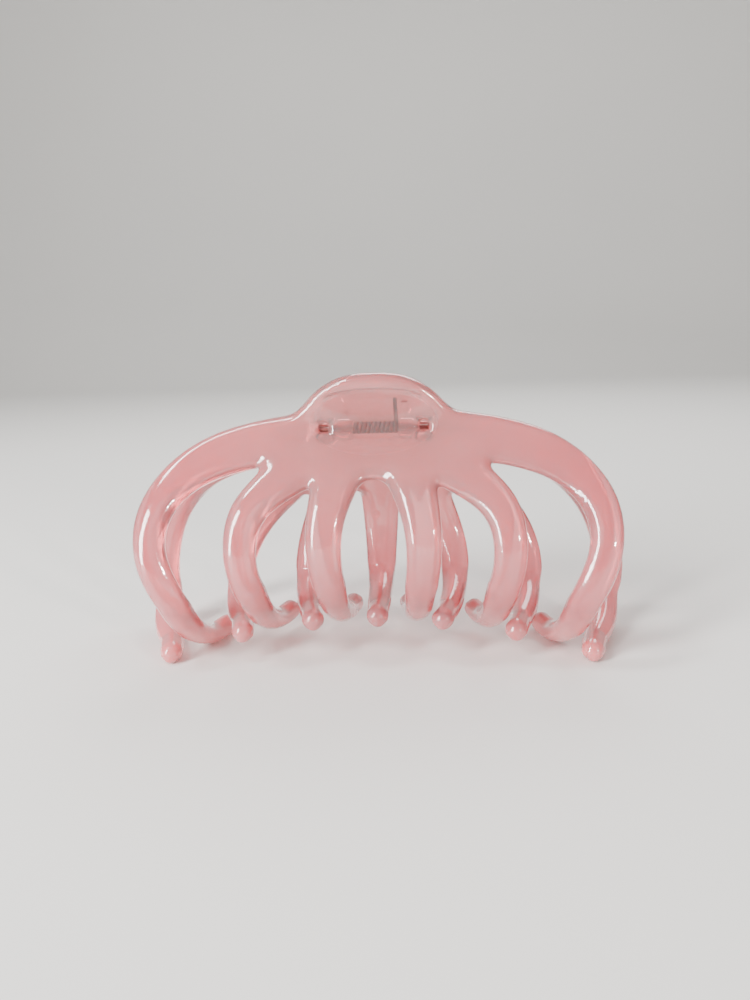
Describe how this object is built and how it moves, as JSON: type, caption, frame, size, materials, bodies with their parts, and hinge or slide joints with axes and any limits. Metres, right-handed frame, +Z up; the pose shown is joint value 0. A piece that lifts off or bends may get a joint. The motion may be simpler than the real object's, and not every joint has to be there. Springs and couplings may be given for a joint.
{
  "type": "claw hair clip",
  "caption": "Octopus claw hair clip: two curved translucent plastic jaws with long interlocking fingers on a sprung hinge pin.",
  "frame": {"origin": "middle of the clip's box, on the surface that it stands on", "axes": "+X along the hinge pin, from the left fingers to the right ones seen from the front; +Y from the front jaw (six fingers) to the back jaw (seven fingers); +Z up. The clip stands on the ends of its outer fingers and leans back by 9.8 degrees."},
  "size_m": [0.1206, 0.0366, 0.0643],
  "materials": {
    "jelly_plastic": "glossy translucent milky pink",
    "pin_steel": "drawn wire, satin",
    "spring_steel": "drawn spring wire, satin"
  },
  "bodies": {
    "front": {"front_jaw": "jelly_plastic", "hinge_pin": "pin_steel", "torsion_spring": "spring_steel"},
    "back": {"back_jaw": "jelly_plastic"}
  },
  "joints": [
    {"name": "jaw_hinge", "type": "hinge", "parent": "front", "child": "back", "pos_m": [0, 0.00469, 0.05138], "axis": [1, 0, 0], "range_deg": [0, 50], "stiffness_Nm_per_rad": 0.12, "springref_deg": -45.84, "deforming": ["torsion_spring"]}
  ]
}
